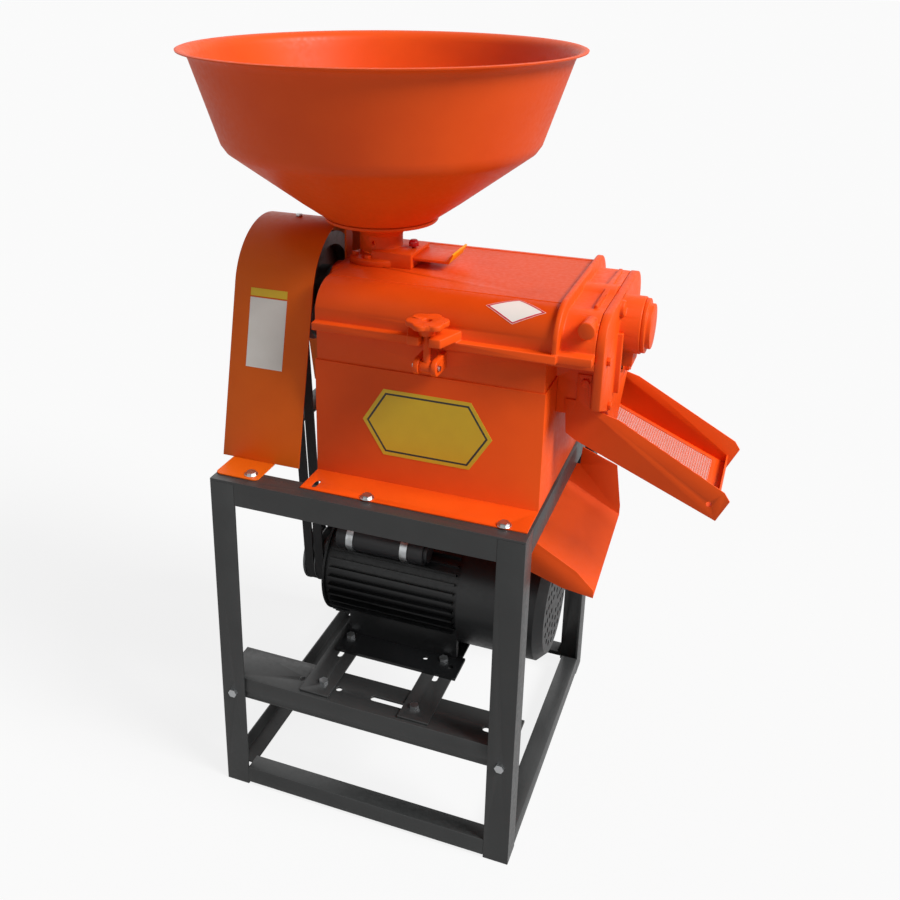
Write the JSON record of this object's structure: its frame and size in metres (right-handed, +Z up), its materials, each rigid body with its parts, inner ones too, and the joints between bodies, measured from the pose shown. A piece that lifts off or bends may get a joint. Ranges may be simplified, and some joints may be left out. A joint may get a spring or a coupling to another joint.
{
  "type": "rice huller",
  "caption": "Rice huller: round hopper on a hinged cast casing with roller and sieve, V-belt drive under a guard, outlet tray, bran chute and motor in an angle-iron stand.",
  "frame": {"origin": "on the floor, at the bottom centre of the machine's bounding box", "axes": "+X along the milling shaft towards the rice outlet, +Y to the rear (hinge side), +Z up"},
  "size_m": [0.85, 0.5901, 1.19],
  "materials": {
    "stand_paint": "satin dark grey paint",
    "zinc_plate": "zinc-plated steel",
    "orange_sheet": "semi-gloss orange paint on sheet steel",
    "orange_hopper": "semi-gloss orange paint on spun sheet steel",
    "orange_casting": "semi-gloss orange paint on a rough casting",
    "orange_screen": "orange paint on woven wire screen",
    "bearing_steel": "ground steel",
    "bright_sheet": "bright sheet steel",
    "cast_iron": "machined cast iron",
    "tool_steel": "hardened steel",
    "shaft_steel": "turned steel",
    "belt_rubber": "fabric-backed rubber",
    "motor_paint": "semi-gloss black paint",
    "cowl_paint": "semi-gloss black paint on sheet steel",
    "fan_plastic": "moulded plastic",
    "capacitor_case": "moulded plastic",
    "red_plastic": "moulded plastic head on a steel screw"
  },
  "bodies": {
    "stand_and_casing": {"base_casting": "orange_casting", "base_skirt": "orange_sheet", "bearing_cap": "orange_casting", "bearing_housing_left": "orange_casting", "bearing_left": "bearing_steel", "bearing_right": "bearing_steel", "belt_guard": "orange_sheet", "bottom_rail_front": "stand_paint", "bottom_rail_left": "stand_paint", "bottom_rail_rear": "stand_paint", "bottom_rail_right": "stand_paint", "bran_chute": "orange_sheet", "capacitor_clamps": "zinc_plate", "casing_screws": "zinc_plate", "cover_hinge_pins": "shaft_steel", "crossbar_bolts": "zinc_plate", "drive_belts": "belt_rubber", "end_plate": "orange_casting", "guard_stay": "orange_sheet", "knife_bar": "tool_steel", "motor_capacitors": "capacitor_case", "motor_cowl": "cowl_paint", "motor_crossbar_left": "stand_paint", "motor_crossbar_right": "stand_paint", "motor_foot_bolts": "zinc_plate", "motor_housing": "motor_paint", "motor_rail_bolts": "zinc_plate", "motor_rail_front": "stand_paint", "motor_rail_rear": "stand_paint", "motor_shield_drive": "motor_paint", "motor_shield_fan": "motor_paint", "rail_bolts": "zinc_plate", "separator_screen": "orange_screen", "separator_tray": "orange_sheet", "sieve_screen": "bright_sheet", "stand_leg_front_left": "stand_paint", "stand_leg_front_right": "stand_paint", "stand_leg_rear_left": "stand_paint", "stand_leg_rear_right": "stand_paint", "swing_bolt": "orange_casting", "swing_bolt_pin": "shaft_steel", "top_rail_front": "stand_paint", "top_rail_left": "stand_paint", "top_rail_rear": "stand_paint", "top_rail_right": "stand_paint"},
    "milling_rotor": {"main_shaft": "shaft_steel", "milling_roller": "cast_iron", "main_pulley": "cast_iron", "shaft_nut": "zinc_plate"},
    "motor_rotor": {"motor_shaft": "shaft_steel", "motor_pulley": "cast_iron", "motor_fan": "fan_plastic"},
    "cover_and_hopper": {"cover": "orange_casting", "hopper_neck": "orange_casting", "neck_bolts": "zinc_plate", "hopper": "orange_hopper"},
    "feed_gate": {"feed_slide": "orange_sheet"},
    "lock_screw": {"feed_lock_screw": "red_plastic"},
    "clamp_nut": {"hand_nut": "orange_casting"}
  },
  "joints": [
    {"name": "milling_spin", "type": "hinge", "parent": "stand_and_casing", "child": "milling_rotor", "pos_m": [0, 0, 0.817], "axis": [1, 0, 0], "continuous": true},
    {"name": "motor_spin", "type": "hinge", "parent": "stand_and_casing", "child": "motor_rotor", "pos_m": [0, 0.005, 0.318], "axis": [1, 0, 0], "continuous": true},
    {"name": "cover_hinge", "type": "hinge", "parent": "stand_and_casing", "child": "cover_and_hopper", "pos_m": [0, 0.186, 0.832], "axis": [-1, 0, 0], "range_deg": [0, 92]},
    {"name": "feed_gate_slide", "type": "slide", "parent": "cover_and_hopper", "child": "feed_gate", "axis": [-1, 0, 0], "range_m": [0, 0.048]},
    {"name": "lock_screw_turn", "type": "hinge", "parent": "cover_and_hopper", "child": "lock_screw", "pos_m": [-0.077, 0, 0.9], "axis": [0, 0, 1], "continuous": true},
    {"name": "clamp_nut_turn", "type": "hinge", "parent": "cover_and_hopper", "child": "clamp_nut", "pos_m": [0.014, -0.19, 0.845], "axis": [0, 0, 1], "continuous": true}
  ],
  "couplings": [
    {"joint": "motor_spin", "follows": "milling_spin", "ratio": 1.8333}
  ]
}
